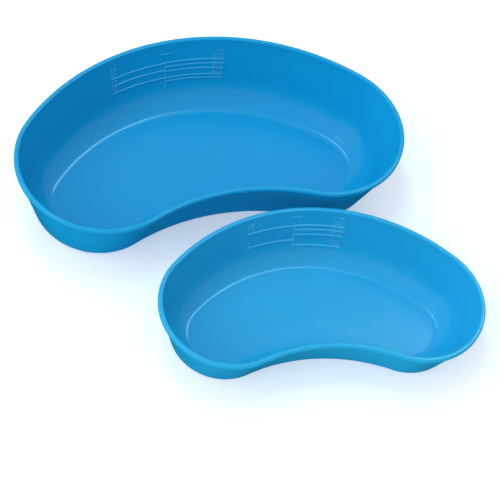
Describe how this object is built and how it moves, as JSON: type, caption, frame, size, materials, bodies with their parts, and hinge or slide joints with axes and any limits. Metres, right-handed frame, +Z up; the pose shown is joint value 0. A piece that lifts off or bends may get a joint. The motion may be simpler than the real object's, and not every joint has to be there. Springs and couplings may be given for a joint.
{
  "type": "kidney dish set",
  "caption": "Kidney-shaped hospital dishes in two nesting sizes, with sloping walls, thick rims and raised measuring scales.",
  "frame": {"origin": "on the plane that both dishes stand on, under the middle of the small dish", "axes": "+X along the length of the small dish, +Y towards its convex back, +Z up"},
  "size_m": [0.2792, 0.238, 0.0475],
  "materials": {
    "small_polypropylene": "semi-gloss injection moulded polypropylene",
    "large_polypropylene": "semi-gloss injection moulded polypropylene"
  },
  "bodies": {
    "small_dish": {"small_dish": "small_polypropylene"},
    "large_dish": {"large_dish": "large_polypropylene"}
  },
  "joints": [
    {"name": "large_dish_lift", "type": "slide", "parent": "small_dish", "child": "large_dish", "axis": [0, 0, 1], "range_m": [0, 0.12]}
  ]
}
